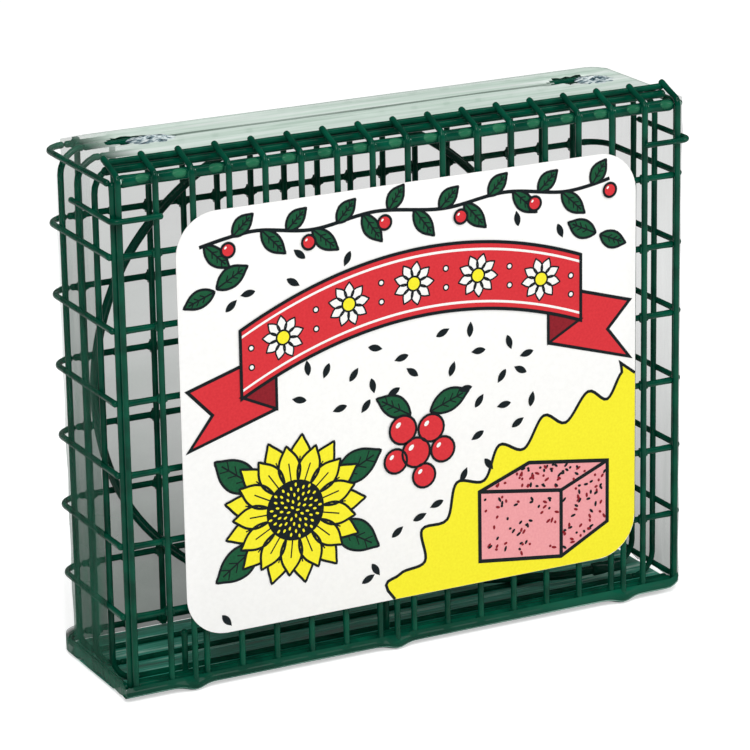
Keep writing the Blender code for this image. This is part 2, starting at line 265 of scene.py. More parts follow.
def coated_card():
    """Solid bleached board with a clay coat: bright white, even, with a soft shine."""
    material, tree, shader, place = blank("coated_card", {"IOR": 1.5, "Specular IOR Level": 0.3})
    pulp = toned(tree, shader, place, 1.4 * MM, 4.0, [(0.3, "#F4F4F2"), (0.7, "#F8F8F6")], (0.38, 0.5))
    raised(tree, shader, pulp, 0.05, 0.02 * MM)
    return material


def offset_ink(name, light, deep):
    """Offset litho ink on the card: flat colour with the faint mottle of a printed solid."""
    material, tree, shader, place = blank(name, {"IOR": 1.5, "Specular IOR Level": 0.15})
    toned(tree, shader, place, 0.9 * MM, 3.0, [(0.3, deep), (0.7, light)], (0.36, 0.46))
    return material


def cable_sleeve():
    """Extruded PVC sleeve over a steel cable: smoother and evener than the dipped wires."""
    material, tree, shader, place = blank("cable_sleeve", {"IOR": 1.5, "Specular IOR Level": 0.4})
    toned(tree, shader, place, 14 * MM, 2.0, [(0.3, "#003325"), (0.7, "#024535")], (0.1, 0.18))
    return material


def shrink_film(name, tints, low, high, fade=None, grain=(70, 4, 30), shine=0.2):
    """Polyolefin shrink film: clear and glossy, cloudier where it is drawn thick or folded.

    With a fade the film thins out along one direction: that direction, where it is thin, where it
    is full and what is left of it at the thin end.
    """
    material, tree, shader, place = blank("shrink_film_" + name, {
        "IOR": 1.5, "Roughness": 0.16, "Specular IOR Level": shine})
    drawn = add(tree, "Mapping", {"Scale": tuple(1 / (size * MM) for size in grain)},
                {"Vector": place})
    cloud = add(tree, "TexNoise", {"Scale": 1.0, "Detail": 5.0, "Roughness": 0.6},
                {"Vector": drawn.outputs["Vector"]})
    stops = [(0.35 + 0.3 * index / (len(tints) - 1), tint) for index, tint in enumerate(tints)]
    tree.links.new(shades(tree, cloud.outputs["Fac"], stops), shader.inputs["Base Color"])
    alpha = rescaled(tree, cloud.outputs["Fac"], low, high, 0.35, 0.65)
    if fade:
        direction, thin, full, left = fade
        where = add(tree, "VectorMath", {"operation": "DOT_PRODUCT", 1: direction}, {0: place})
        share = rescaled(tree, where.outputs["Value"], left, 1.0, thin, full)
        alpha = add(tree, "Math", {"operation": "MULTIPLY"}, {0: alpha, 1: share}).outputs[0]
    tree.links.new(alpha, shader.inputs["Alpha"])
    raised(tree, shader, cloud.outputs["Fac"], 0.4, 0.3 * MM)
    return material


# Wire work

def bent(points, radius, steps=6):
    """The centre line of a wire bent at each inner corner, with arcs of one radius."""
    path = [Vector(points[0])]
    for before, corner, after in zip(points, points[1:], points[2:]):
        corner = Vector(corner)
        back = (Vector(before) - corner).normalized()
        ahead = (Vector(after) - corner).normalized()
        half = back.angle(ahead) / 2
        reach = radius / math.tan(half)
        middle = corner + (back + ahead).normalized() * (radius / math.sin(half))
        spoke = corner + back * reach - middle
        last = corner + ahead * reach - middle
        axis = spoke.cross(last).normalized()
        sweep = spoke.angle(last)
        for step in range(steps + 1):
            path.append(middle + Quaternion(axis, sweep * step / steps) @ spoke)
    path.append(Vector(points[-1]))
    return path


def curved(knots, step):
    """Points at an even step on a smooth curve from the second knot to the last but one."""
    fine = []
    for a, b, c, d in zip(knots, knots[1:], knots[2:], knots[3:]):
        count = max(2, round((c - b).length / step))
        fine.extend(interpolate_bezier(b, b + (c - a) / 6, c - (d - b) / 6, c, count + 1)[:-1])
    return fine


def crosswise(end, y, z):
    """A straight line from left to right."""
    return [Vector((-end, y, z)), Vector((end, y, z))]


# The rounded drop at a wire's end: places in radii from its tip, and sizes with the drop's share
END_DROP = ((2.2, 1.0, 0.5), (1.1, 1.0, 1.0), (0.55, 0.9, 1.0), (0.2, 0.62, 0.0), (0.0, 0.2, 0.0))


def run_of_coat(path, radius, drip=0.1):
    """Places and coat thickness along a dipped wire, with a rounded drop at each end."""
    step = 5 * MM
    places = [path[0]]
    for start, end in zip(path, path[1:]):
        count = max(1, round((end - start).length / step))
        for index in range(1, count + 1):
            places.append(start.lerp(end, index / count))
    coat = [(place, 1.0 + 0.05 * noise.noise(place * 160)) for place in places[1:-1]]
    ends = []
    for end, inner in ((places[0], places[1]), (places[-1], places[-2])):
        out = (end - inner).normalized()
        ends.append([(end - out * radius * away, size + drip * share) for away, size, share in END_DROP])
    keep = [item for item in coat
            if min((item[0] - places[0]).length, (item[0] - places[-1]).length) > radius * 3]
    return list(reversed(ends[0])) + keep + ends[1]


def round_curve(name, radius, sides):
    """A curve that draws its lines as round rods."""
    curve = bpy.data.curves.new(name, "CURVE")
    curve.dimensions = "3D"
    curve.bevel_depth = radius
    curve.bevel_resolution = sides
    curve.use_fill_caps = True
    return curve


def lay(curve, places):
    """One line of a curve through the places."""
    spline = curve.splines.new("POLY")
    spline.points.add(len(places) - 1)
    for point, place in zip(spline.points, places):
        point.co = (*place, 1.0)
    spline.use_smooth = True
    return spline


def wire_mesh(name, rods, sides=3):
    """Round dipped wires as one mesh; each rod is its centre line and its radius."""
    curve = round_curve(name, 1.0, sides)
    for path, radius in rods:
        coat = run_of_coat(path, radius)
        spline = lay(curve, [place for place, size in coat])
        for point, (place, size) in zip(spline.points, coat):
            point.radius = radius * size
    source = placed(name, curve)
    bpy.context.view_layer.update()
    mesh = bpy.data.meshes.new_from_object(source.evaluated_get(bpy.context.evaluated_depsgraph_get()))
    bpy.data.objects.remove(source, do_unlink=True)
    return mesh


def weld_fillet(arm, reach, depth):
    """The vinyl that pools in the corners where two wires cross, as a small plate with arcs."""
    plate = bmesh.new()
    bmesh.ops.create_grid(plate, x_segments=3, y_segments=3, size=reach)
    for vert in plate.verts:
        if abs(vert.co.x) < reach * 0.9:
            vert.co.x = math.copysign(arm, vert.co.x)
        if abs(vert.co.y) < reach * 0.9:
            vert.co.y = math.copysign(arm, vert.co.y)
    corners = [face for face in plate.faces
               if min(abs(face.calc_center_median().x), abs(face.calc_center_median().y)) > arm]
    bmesh.ops.delete(plate, geom=corners, context="FACES")
    bmesh.ops.dissolve_faces(plate, faces=plate.faces[:])
    grown = bmesh.ops.extrude_face_region(plate, geom=plate.faces[:])["geom"]
    lifted = [item for item in grown if isinstance(item, bmesh.types.BMVert)]
    bmesh.ops.translate(plate, verts=lifted, vec=(0.0, 0.0, depth))
    inner = [edge for edge in plate.edges
             if abs(edge.verts[0].co.z - edge.verts[1].co.z) > depth / 2
             and abs(edge.verts[0].co.x) < arm * 1.1 and abs(edge.verts[0].co.y) < arm * 1.1]
    soften(plate, inner, (reach - arm) * 0.92, 3)
    bmesh.ops.translate(plate, verts=plate.verts, vec=(0.0, 0.0, -depth / 2))
    bmesh.ops.rotate(plate, verts=plate.verts, matrix=Matrix.Rotation(math.pi / 2, 3, "X"))
    bmesh.ops.recalc_face_normals(plate, faces=plate.faces)
    return mesh_of("weld_fillet", plate)


def piece(name, mesh, body, material, nodes=(), sharp=60):
    """A finished piece: stood in its place, shaded, riding on its body and standing for its nodes."""
    mesh.name = name
    mesh.transform(Matrix.Translation((0.0, DOOR_Y, 0.0)))
    mesh.materials.clear()
    mesh.materials.append(material)
    mesh.shade_smooth()
    mesh.set_sharp_from_angle(angle=math.radians(sharp))
    item = placed(name, mesh)
    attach(item, body)
    if nodes:
        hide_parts(*nodes)
    return item


def panel(name, node, body, rods, crossings, reach):
    """A mesh panel: its wires and a fillet of pooled vinyl at each crossing."""
    wires = wire_mesh(name, rods)
    fillet = weld_fillet(FILLET_ARM, reach, FILLET_DEPTH)
    whole = bmesh.new()
    whole.from_mesh(wires)
    for place in crossings:
        before = len(whole.verts)
        whole.from_mesh(fillet)
        whole.verts.ensure_lookup_table()
        bmesh.ops.translate(whole, verts=whole.verts[before:], vec=place)
    whole.to_mesh(wires)
    whole.free()
    return piece(name, wires, body, VINYL, (node,))


def rail_heights():
    """The heights of the eight rails, which are the same on all four sides."""
    return [BASE_RAIL_Z + level * RAIL_PITCH for level in range(RAIL_BAYS + 1)]


def make_door():
    """Seventeen uprights in front of eight rails; they lean back over the top in a lip."""
    lip_run = Vector((0.0, LIP_BACK, LIP_UP)).normalized()
    rods = []
    crossings = []
    for bay in range(DOOR_BAYS + 1):
        x = bay * DOOR_PITCH - DOOR_HALF
        head = Vector((x, LIP_BACK, LIP_BEND_Z + LIP_UP)) + lip_run * LIP_TAIL
        line = [(x, 0.0, BASE_RAIL_Z - UPRIGHT_TAIL), (x, 0.0, LIP_BEND_Z), head]
        rods.append((bent(line, LIP_BEND), WIRE_R))
        if 0 < bay < DOOR_BAYS:
            crossings.extend((x, RAIL_SET / 2, z) for z in rail_heights())
    for level, z in enumerate(rail_heights()):
        radius, y = {0: (RIM_R, RIM_SET), RAIL_BAYS: (TOP_RIM_R, TOP_RIM_SET)}.get(level, (WIRE_R, RAIL_SET))
        rods.append((crosswise(DOOR_RAIL_END_X, y, z), radius))
    rods.append((crosswise(DOOR_HALF + RAIL_OVERHANG, LIP_BACK, LIP_RAIL_Z), WIRE_R))
    panel("door_mesh", "door_grille", "door", rods, crossings, DOOR_FILLET)


def make_side(name, node, side):
    """A side: a post and three legs on eight rails that turn the rear corner."""
    post = [Vector((side * POST_X, POST_Y, BASE_RAIL_Z - POST_FOOT)),
            Vector((side * POST_X, POST_Y, TOP_RAIL_Z + POST_HEAD))]
    rods = [(post, POST_R)]
    for y in LEG_PLACES:
        line = [(side * BAR_END_X, y, BOTTOM_BAR_Z), (side * LEG_X, y, BOTTOM_BAR_Z),
                (side * LEG_X, y, TOP_BAR_Z), (side * BAR_END_X, y, TOP_BAR_Z)]
        rods.append((bent(line, BAR_BEND), WIRE_R))
    for z in rail_heights():
        line = [(side * SIDE_X, POST_Y - 0.3 * MM, z), (side * SIDE_X, BACK_RAIL_Y, z),
                (side * (SIDE_X - CORNER_BEND), BACK_RAIL_Y, z)]
        rods.append((bent(line, CORNER_BEND)[:-1], WIRE_R))
    panel(name, node, "cage", rods, [], DOOR_FILLET)


def make_back():
    """The back: sixteen uprights inside eight rails."""
    rods = []
    crossings = []
    for index in range(BACK_UPRIGHTS):
        x = (index - (BACK_UPRIGHTS - 1) / 2) * BACK_PITCH
        rods.append(([Vector((x, BACK_UPRIGHT_Y, BASE_RAIL_Z - BACK_TAIL)),
                      Vector((x, BACK_UPRIGHT_Y, TOP_RAIL_Z + BACK_TAIL))], WIRE_R))
        for z in rail_heights():
            crossings.append((x, BACK_UPRIGHT_Y + RAIL_SET / 2, z))
    for z in rail_heights():
        rods.append((crosswise(SIDE_X - CORNER_BEND, BACK_RAIL_Y, z), WIRE_R))
    panel("back_mesh", "back_grille", "cage", rods, crossings, BACK_FILLET)


def make_wire(node, body, line, radius):
    """One loose wire, which stands for the node of its name."""
    piece(node + "_wire", wire_mesh(node, [(line, radius)]), body, VINYL, (node,))


def make_cross_wires():
    """The left-to-right wires of the top and the floor, and the two thick rails behind the door."""
    for place, y in zip(("front", "middle", "rear"), LEG_PLACES):
        for level, z in (("top", TOP_BAR_Z), ("bottom", BOTTOM_BAR_Z)):
            make_wire(level + "_bar_" + place, "cage", crosswise(BAR_END_X + BAR_TAIL, y, z), WIRE_R)
    for node, y, z, end in (("front_top_rail", LIP_BACK, FRONT_TOP_RAIL_Z, FRONT_TOP_RAIL_END_X),
                            ("hinge_rail", HINGE_Y, HINGE_Z, POST_X - POST_R)):
        make_wire(node, "cage", crosswise(end, y, z), RIM_R)


def make_hooks():
    """The three hooks: down the door's front, under the hinge rail and up inside."""
    front = -WIRE_R
    inner = HINGE_Y + HOOK_BEND
    floor = HINGE_Z - HOOK_BEND
    for node, bays in HOOK_BAYS:
        x = bays * DOOR_PITCH - DOOR_HALF
        line = [(x, front, BASE_RAIL_Z + RAIL_PITCH + HOOK_TAIL), (x, front, floor), (x, inner, floor),
                (x, inner, BASE_RAIL_Z + HOOK_INNER_LEG)]
        make_wire(node, "door", bent(line, HOOK_BEND), WIRE_R)


def make_ears():
    """The two latch ears: along the door's front, round the corner and back along the side."""
    inner = DOOR_HALF - DOOR_PITCH - 1.5 * MM
    for node, side in (("latch_ear_left", -1), ("latch_ear_right", 1)):
        line = [(side * inner, EAR_Y, EAR_Z), (side * EAR_X, EAR_Y, EAR_Z), (side * EAR_X, EAR_BACK, EAR_Z)]
        make_wire(node, "door", bent(line, EAR_BEND), EAR_R)


def ovals(name, places, size, around, rings):
    """Ovals of one size, as one mesh."""
    whole = bmesh.new()
    for place in places:
        grown = bmesh.ops.create_uvsphere(whole, u_segments=around, v_segments=rings, radius=1.0)["verts"]
        bmesh.ops.scale(whole, verts=grown, vec=size)
        bmesh.ops.translate(whole, verts=grown, vec=place)
    return mesh_of(name, whole)


def make_drip_beads():
    """Oval beads of vinyl on the door's top rail, one in each bay, paler than the wires as painted glare."""
    places = [((bay + 0.68) * DOOR_PITCH - DOOR_HALF, TOP_RIM_SET - 0.8 * MM, TOP_RAIL_Z + 0.4 * MM)
              for bay in range(DOOR_BAYS)]
    beads = ovals("drip_beads", places, (3.5 * MM, 1.7 * MM, 1.6 * MM), 12, 8)
    # The beads' paler green is painted glare of light on the top rail.
    piece("drip_beads", beads, "door", dipped_vinyl("vinyl_bead_painted_glare", "#175C40", "#28704F", 0.3))


# Hanger cable

def is_upright(edge, length):
    """Whether an edge of a standing tube rises by more than a length."""
    return abs(edge.verts[0].co.z - edge.verts[1].co.z) > length


def pressed_sleeve(name):
    """A sleeve along Z: a tube with soft rims, pinched by the press round its middle."""
    tube = bmesh.new()
    bmesh.ops.create_cone(tube, cap_ends=True, segments=24, radius1=SLEEVE_R, radius2=SLEEVE_R,
                          depth=SLEEVE_LENGTH + SLEEVE_LAP)
    rims = [edge for edge in tube.edges if not is_upright(edge, 0.1 * MM)]
    soften(tube, rims, 0.6 * MM, 3)
    sides = [edge for edge in tube.edges if is_upright(edge, 5 * MM)]
    bmesh.ops.subdivide_edges(tube, edges=sides, cuts=9)
    for vert in tube.verts:
        pinch = max(0.0, 1.0 - abs(vert.co.z) / (2.4 * MM))
        vert.co.x *= 1.0 - 0.22 * pinch
        vert.co.y *= 1.0 + 0.05 * pinch
    return mesh_of(name, tube)


def make_cable():
    """The hanger cable, stored as one big loop, and the sleeve pressed on each end."""
    route = [Vector(place) + Vector((0.0, DOOR_Y, 0.0)) for place in CABLE_ROUTE]
    knots = [route[0] * 2 - route[1], *route, route[-1] * 2 - route[-2]]
    path = curved(knots, CABLE_STEP) + route[-1:]
    curve = round_curve("hanger_loop", CABLE_D / 2, 4)
    lay(curve, path)
    sleeve_finish = cable_sleeve()
    curve.materials.append(sleeve_finish)
    loop = placed("hanger_loop", curve)
    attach(loop, "cage")
    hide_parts("hanger_cable")
    for node, end, inner in (("sleeve_low", path[0], path[1]), ("sleeve_high", path[-1], path[-2])):
        out = (end - inner).normalized()
        turn = Vector((0.0, 0.0, 1.0)).rotation_difference(out).to_matrix().to_4x4()
        middle = end + out * (0.3 * MM + SLEEVE_LENGTH / 2 - SLEEVE_LAP / 2)
        mesh = pressed_sleeve(node + "_pressed")
        mesh.transform(Matrix.Translation(middle - Vector((0.0, DOOR_Y, 0.0))) @ turn)
        piece(node + "_pressed", mesh, "cage", sleeve_finish, (node,))


# Clear film, from its wrap's front edge to its lid; its vents as places on the lid

FILM_FRONT = 13.95 * MM
FILM_REAR = 59.95 * MM
FILM_SIDE = 111.1 * MM
FILM_TURN = 8.6 * MM
FILM_TOP = 185.05 * MM
WALL_FOOT = 0.9 * MM
WALL_TOP = FILM_TOP - 1.0 * MM
WALL_ROWS = 62
VENTS = ((-84.0 * MM, 43.0 * MM), (89.0 * MM, 43.0 * MM))
VENT_LONG = 9 * MM
VENT_WIDE = 4.5 * MM
TUFTS = ((-77.0 * MM, 40.0 * MM, 9.5 * MM, 6.0 * MM, 1.0), (96.0 * MM, 39.0 * MM, 7.5 * MM, 6.5 * MM, 4.0))


def film_plan(step=3.0 * MM):
    """Points of the film's wrap seen from above, from the left front round the back to the right."""
    depth = FILM_REAR - FILM_TURN - FILM_FRONT
    count = round(depth / step)
    left = [(-FILM_SIDE, FILM_FRONT + depth * index / count) for index in range(count)]
    turn = [(-FILM_SIDE + FILM_TURN - FILM_TURN * math.cos(math.pi / 2 * index / 6),
             FILM_REAR - FILM_TURN + FILM_TURN * math.sin(math.pi / 2 * index / 6)) for index in range(7)]
    half = left + turn
    width = 2 * (FILM_SIDE - FILM_TURN)
    count = round(width / step)
    across = [(half[-1][0] + width * index / count, FILM_REAR) for index in range(1, count)]
    return half + across + [(-x, y) for x, y in reversed(half)]


def sheet_mesh(name, rows):
    """A thin sheet from rows of points; a hole stays open where a point is missing."""
    sheet = bmesh.new()
    verts = [[sheet.verts.new(place) if place else None for place in row] for row in rows]
    for lower, upper in zip(verts, verts[1:]):
        for corners in zip(lower, lower[1:], upper[1:], upper):
            if all(corners):
                sheet.faces.new(corners)
    loose = [vert for vert in sheet.verts if not vert.link_faces]
    bmesh.ops.delete(sheet, geom=loose, context="VERTS")
    return mesh_of(name, sheet)


def round_vents(x, y):
    """The nearest vent's pull on the film at a place: how far out it is, in vent sizes."""
    return min(Vector(((x - vx) / VENT_LONG, (y - vy) / VENT_WIDE)).length for vx, vy in VENTS)


def film_wall():
    """The wrap round both sides and the back, drawn in between the rails and out over the ears."""
    plan = film_plan()
    rows = []
    for level in range(WALL_ROWS + 1):
        z = WALL_FOOT + (WALL_TOP - WALL_FOOT) * level / WALL_ROWS
        row = []
        for index, (x, y) in enumerate(plan):
            ahead = plan[min(index + 1, len(plan) - 1)]
            behind = plan[max(index - 1, 0)]
            run = Vector((ahead[0] - behind[0], ahead[1] - behind[1])).normalized()
            out = Vector((-run.y, run.x))
            slack = -0.3 * MM * math.sin(math.pi * (z - BASE_RAIL_Z) / RAIL_PITCH) ** 2
            slack += 0.15 * MM * noise.noise(Vector((x, y, z)) * 50)
            beside = min(1.0, max(0.0, 40 * MM - y) / (6 * MM))
            slack += 0.85 * MM * math.exp(-((z - EAR_Z) / (5 * MM)) ** 2) * beside
            # The front edge reaches forward: up the whole right side, and at the left side's foot
            hug = max(0.0, 1 - (y - FILM_FRONT) / (12 * MM))
            hug *= 0.7 if x > 0 else min(1.0, max(0.0, (9 * MM - z) / (3 * MM)))
            # The foot rides up between the legs
            between = min(1.0, min(abs(y - leg) for leg in LEG_PLACES) / (7 * MM))
            rise = 0.5 * between * max(0.0, 4.5 * MM - z) if y < 46 * MM else 0.0
            row.append((x + out.x * slack, y + out.y * slack - 15 * MM * hug, z + rise))
        rows.append(row)
    return rows


def film_lid():
    """The top, rounded over to the sides and puckered round its two vents."""
    rows = []
    for index in range(32):
        y0 = FILM_FRONT + (FILM_REAR - FILM_FRONT) * index / 31
        row = []
        for column in range(113):
            x, y = FILM_SIDE * (column / 56 - 1), y0
            corner = Vector((abs(x) - FILM_SIDE + FILM_TURN, y - FILM_REAR + FILM_TURN))
            border = min(FILM_SIDE - abs(x), FILM_REAR - y)
            if min(corner) > 0:
                border = FILM_TURN - corner.length
                if corner.length > FILM_TURN:
                    corner = corner.normalized() * FILM_TURN
                    x = math.copysign(FILM_SIDE - FILM_TURN + corner.x, x)
                    y = FILM_REAR - FILM_TURN + corner.y
            # It rolls over at its border, folds round the vents, and is faintly creased across
            ease = 1.0 - min(1.0, max(0.0, border) / (3 * MM))
            z = FILM_TOP - 1.1 * MM * ease * ease
            away = round_vents(x, y)
            nearest = min(VENTS, key=lambda vent: abs(vent[0] - x))
            turn = math.atan2((y - nearest[1]) * 2, x - nearest[0])
            pucker = math.exp(-max(0.0, away - 1.0) * 1.5)
            wave = math.sin(turn * 13 + 4 * noise.noise(Vector((x, y, 0)) * 120))
            z += pucker * (0.35 * MM * wave - 0.35 * MM)
            z += 0.22 * MM * noise.noise(Vector((x * 18, y * 110, 0.0))) * (1 - ease)
            row.append((x, y, z) if away > 0.93 else None)
        rows.append(row)
    return rows


def film_tuft(x0, y0, long, wide, seed):
    """Film that shrank into a small crumpled knot in a vent."""
    rows = []
    for ring in range(9):
        out = ring / 8
        row = []
        for index in range(49):
            turn = 2 * math.pi * (index % 48) / 48
            fold = math.sin(turn * 9 + seed + 3 * noise.noise(Vector((math.cos(turn), math.sin(turn), seed))))
            lift = 1.5 * MM * (1 - out) ** 1.3 + 0.8 * MM * fold * out * (1.15 - out)
            row.append((x0 + long * out * math.cos(turn), y0 + wide * out * math.sin(turn),
                        FILM_TOP - 0.2 * MM + lift))
        rows.append(row)
    return rows


def film_piece(name, mesh, body, finish, nodes=(), sharp=80):
    """A finished piece of the film."""
    return piece(name, mesh, body, finish, nodes, sharp)


def make_wrap():
    """The wrap: green over the left side's wires, smoky at the back and clear at the rear corner."""
    side = shrink_film("side", ("#003D2A", "#0C5A43"), 0.6, 0.8,
                       ((0, 0, -1), -180 * MM, -30 * MM, 0.18), shine=0.02)
    item = film_piece("film_wrap", sheet_mesh("film_walls", film_wall()), "cage", side, ("shrink_film",))
    for finish in (
            shrink_film("back", ("#3A6149", "#486F57"), 0.74, 0.8,
                        ((-0.35, 0, -0.94), -150 * MM, 0, 0.52)),
            shrink_film("corner", ("#D5DCD5", "#F0F4F0"), 0.01, 0.05),
            shrink_film("low", ("#054B36", "#0E5D46"), 0.9, 1.0,
                        ((0, 0, 1), 7 * MM, 5 * MM, 0.5), shine=0.04)):
        item.data.materials.append(finish)
    for face in item.data.polygons:
        x, y, z = face.center
        if x > 0 or abs(face.normal.y) > 0.99 and x > -102 * MM:
            face.material_index = 1
        elif z < 7 * MM:
            face.material_index = 3
        else:
            face.material_index = 2 if y > DOOR_Y + 46 * MM else 0


def make_film():
    """The clear film, its seam and its crumpled vents, all on the cage; a strip stays on the door."""
    make_wrap()
    # The lid's pale, nearly opaque mint is partly lapped, cloudier film and partly painted glare of the film
    # seen at a grazing angle.
    film_piece("film_lid", sheet_mesh("film_lid", film_lid()), "cage",
               shrink_film("lapped_with_painted_glare", ("#CEE6D7", "#E1F3E8", "#F2FBF6"), 0.9, 1.0,
                           ((1, 0, 0), -101 * MM, -86 * MM, 0.06)))
    # The floor narrows towards the rear corners. Its opaque dark teal is painted shade of the ground under
    # the cage, and its pale streaks are painted reflections.
    floor = [[(x / 18 * MM * (110.8 - 0.7 * max(0, y - 50)), y * MM,
               0.7 * MM + 0.1 * MM * noise.noise(Vector((x, y / 3, 0.0)))) for x in range(-18, 19)]
             for y in range(12, 61, 3)]
    film_piece("film_floor_painted_shade", sheet_mesh("film_floor_painted_shade", floor), "cage",
               shrink_film("under", ("#17614F", "#23886F", "#44A890", "#C4EBDC"), 0.95, 1.0,
                           shine=0.04))
    # Crumpled film in the vents: its dark grey-teal is painted shade inside the vents, and its near-white is
    # painted glare.
    tufts = bmesh.new()
    for spot in TUFTS:
        mesh = sheet_mesh("film_tuft", film_tuft(*spot))
        tufts.from_mesh(mesh)
        bpy.data.meshes.remove(mesh)
    film_piece("film_tufts_shade_and_glare", mesh_of("film_tufts_shade_and_glare", tufts), "cage",
               shrink_film("folded", ("#1B3038", "#56707A", "#C6D4D6", "#F0F6F5"), 0.9, 1.0,
                           grain=(3.0, 1.6, 1.6)), sharp=50)
    seam = []
    for index in range(90):
        x = VENTS[0][0] + VENT_LONG + (VENTS[1][0] - VENTS[0][0] - 2 * VENT_LONG) * index / 89
        y = 40.3 * MM + 0.5 * MM * noise.noise(Vector((x * 30, 2.0, 0.0)))
        seam.append([(x, y - 0.5 * MM, FILM_TOP + 0.02 * MM), (x, y, FILM_TOP + 0.45 * MM),
                     (x, y + 0.5 * MM, FILM_TOP + 0.02 * MM)])
    film_piece("film_seam", sheet_mesh("film_seam", seam), "cage",
               shrink_film("seam", ("#5C6C63", "#9FAEA5"), 0.75, 0.95))


# The door's film: its section, millimetres from the uprights and from the ground, and its run
FOOT_SECTION = ((-1.25, 5.9), (-1.4, 4.4), (-1.25, 2.9), (-0.5, 2.05), (1.2, 1.8), (2.8, 2.3))
FOOT_LEFT = -111.4 * MM
FOOT_LENGTH = 219.4 * MM
FOOT_STEPS = 144


def make_foot_film():
    """The strip of film that stays on the door's foot, drawn tight under its bottom rail, with a painted
    highlight along its fold and painted glints on the top rail.
    """
    rows = []
    highlight_line = []
    dark = []
    places = [bays * DOOR_PITCH - DOOR_HALF for node, bays in HOOK_BAYS]
    for index in range(FOOT_STEPS + 1):
        x = FOOT_LEFT + FOOT_LENGTH * index / FOOT_STEPS
        # It bulges over the hooks, and curls up at its right end
        pull = max(math.exp(-((x - place) / (4.0 * MM)) ** 2) for place in places)
        out = 1.1 * MM * pull
        sag = 1.2 * MM * pull
        lift = 2.0 * MM * max(0.0, (x - 104 * MM) / (4 * MM)) ** 2 - 0.5 * MM
        rows.append([(x, y * MM - out * (z < 5), z * MM - sag * (z < 4.5) + lift) for y, z in FOOT_SECTION])
        highlight_line.append(Vector((x, -1.15 * MM - out, 2.45 * MM - sag + lift)))
        dark.append(Vector((x, 0.3 * MM - out, 1.85 * MM - sag + lift)))
    film_piece("foot_film", sheet_mesh("foot_film", rows), "door",
               shrink_film("foot", ("#043D2D", "#0A5540"), 0.94, 1.0, shine=0.1))
    film_piece("foot_film_edge", wire_mesh("foot_film_edge", [(dark, 0.3 * MM)], 1), "door",
               shrink_film("cut_edge", ("#082B24", "#12443A"), 0.9, 1.0), sharp=60)
    # A thin pale rod along the fold: painted highlight.
    film_piece("foot_film_fold_highlight", wire_mesh("foot_film_fold_highlight", [(highlight_line, 0.2 * MM)], 1), "door",
               shrink_film("fold", ("#3F7D6B", "#9CC4B6"), 0.5, 0.8), sharp=60)
    # Pale mint ovals just above the top rail, beside each upright: painted glints of light, in a film finish.
    places = [(bay * DOOR_PITCH - DOOR_HALF + 1.15 * MM, 0.1 * MM, TOP_RAIL_Z + 0.5 * MM)
              for bay in range(DOOR_BAYS + 1)]
    film_piece("film_glints", ovals("film_glints", places, (0.38 * MM, 0.3 * MM, 0.95 * MM), 8, 6), "door",
               shrink_film("pinched", ("#8FC4AE", "#DDF0E6"), 0.8, 1.0), sharp=60)


# Printed card; places and sizes of the print are millimetres from the card's middle

CARD_HALF_W = 88.5
CARD_HALF_H = 75.0
CARD_CORNER = 15.0
LABEL_LAYER = 0.03 * MM
GOLDEN_TURN = 2.39996


def make_label():
    """The card: round corners and a slightly softened cut edge."""
    low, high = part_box("label_card")
    card = bmesh.new()
    half_w = (high[0] - low[0]) / 2
    half_h = (high[2] - low[2]) / 2
    thick = high[1] - low[1]
    bmesh.ops.create_cube(card, size=1.0)
    bmesh.ops.scale(card, vec=(2 * half_w, thick, 2 * half_h), verts=card.verts)
    middle = Vector((0.0, (low[1] + high[1]) / 2 - DOOR_Y, (low[2] + high[2]) / 2))
    bmesh.ops.translate(card, vec=middle, verts=card.verts)
    corners = [edge for edge in card.edges
               if abs(edge.verts[0].co.y - edge.verts[1].co.y) > thick / 2]
    soften(card, corners, CARD_CORNER * MM, 14)
    rims = [edge for edge in card.edges
            if len(edge.link_faces) == 2 and edge.calc_face_angle(0.0) > math.radians(60)]
    soften(card, rims, 0.08 * MM, 2)
    piece("card_board", mesh_of("card_board", card), "door", coated_card(), ("label_card",),
          sharp=30)


def rounded(points, step=1.6):
    """A smooth closed line through the given points."""
    ring = [Vector((x, y, 0.0)) for x, y in points]
    return [(place.x, place.y) for place in curved(ring[-1:] + ring + ring[:2], step)]


def stroke(points, width, closed=True):
    """A drawn line of one width along the points, mitred at its corners."""
    line = [Vector(point) for point in points]
    pairs = []
    for index, place in enumerate(line):
        ahead = line[(index + 1) % len(line)] - place if closed or index + 1 < len(line) else None
        back = place - line[index - 1] if closed or index else None
        ahead = ahead or back
        back = back or ahead
        run = (ahead.normalized() + back.normalized()).normalized()
        spread = width / 2 / max(0.35, run.dot(ahead.normalized()))
        side = Vector((-run.y, run.x)) * spread
        pairs.append((tuple(place + side), tuple(place - side)))
    after = pairs[1:] + pairs[:1] if closed else pairs[1:]
    return [[a, b, d, c] for (a, b), (c, d) in zip(pairs, after)]


def strokes(shapes, width):
    """The closed outlines of several shapes."""
    return [bar for points in shapes for bar in stroke(points, width)]


def leaf(across, up, length, width, turn, bulge=0.0):
    """The outline of a pointed leaf or petal that grows from one place at one angle."""
    half = [(0.0, 0.0), (0.06, 0.15), (0.2, 0.36), (0.45, 0.5), (0.7, 0.4), (0.92, 0.12), (1.0, 0.0)]
    cos, sin = math.cos(turn), math.sin(turn)
    points = []
    for along, aside in half + [(along, -aside) for along, aside in half[-2:0:-1]]:
        u = along * length
        v = aside * width + bulge * length * along * (1 - along)
        points.append((across + u * cos - v * sin, up + u * sin + v * cos))
    return rounded(points, 1.2)


def disc(across, up, wide, tall=None, turn=0.0, count=16):
    """Points of an oval."""
    tall = wide if tall is None else tall
    points = []
    for index in range(count):
        angle = 2 * math.pi * index / count
        u, v = wide * math.cos(angle), tall * math.sin(angle)
        points.append((across + u * math.cos(turn) - v * math.sin(turn),
                       up + u * math.sin(turn) + v * math.cos(turn)))
    return points


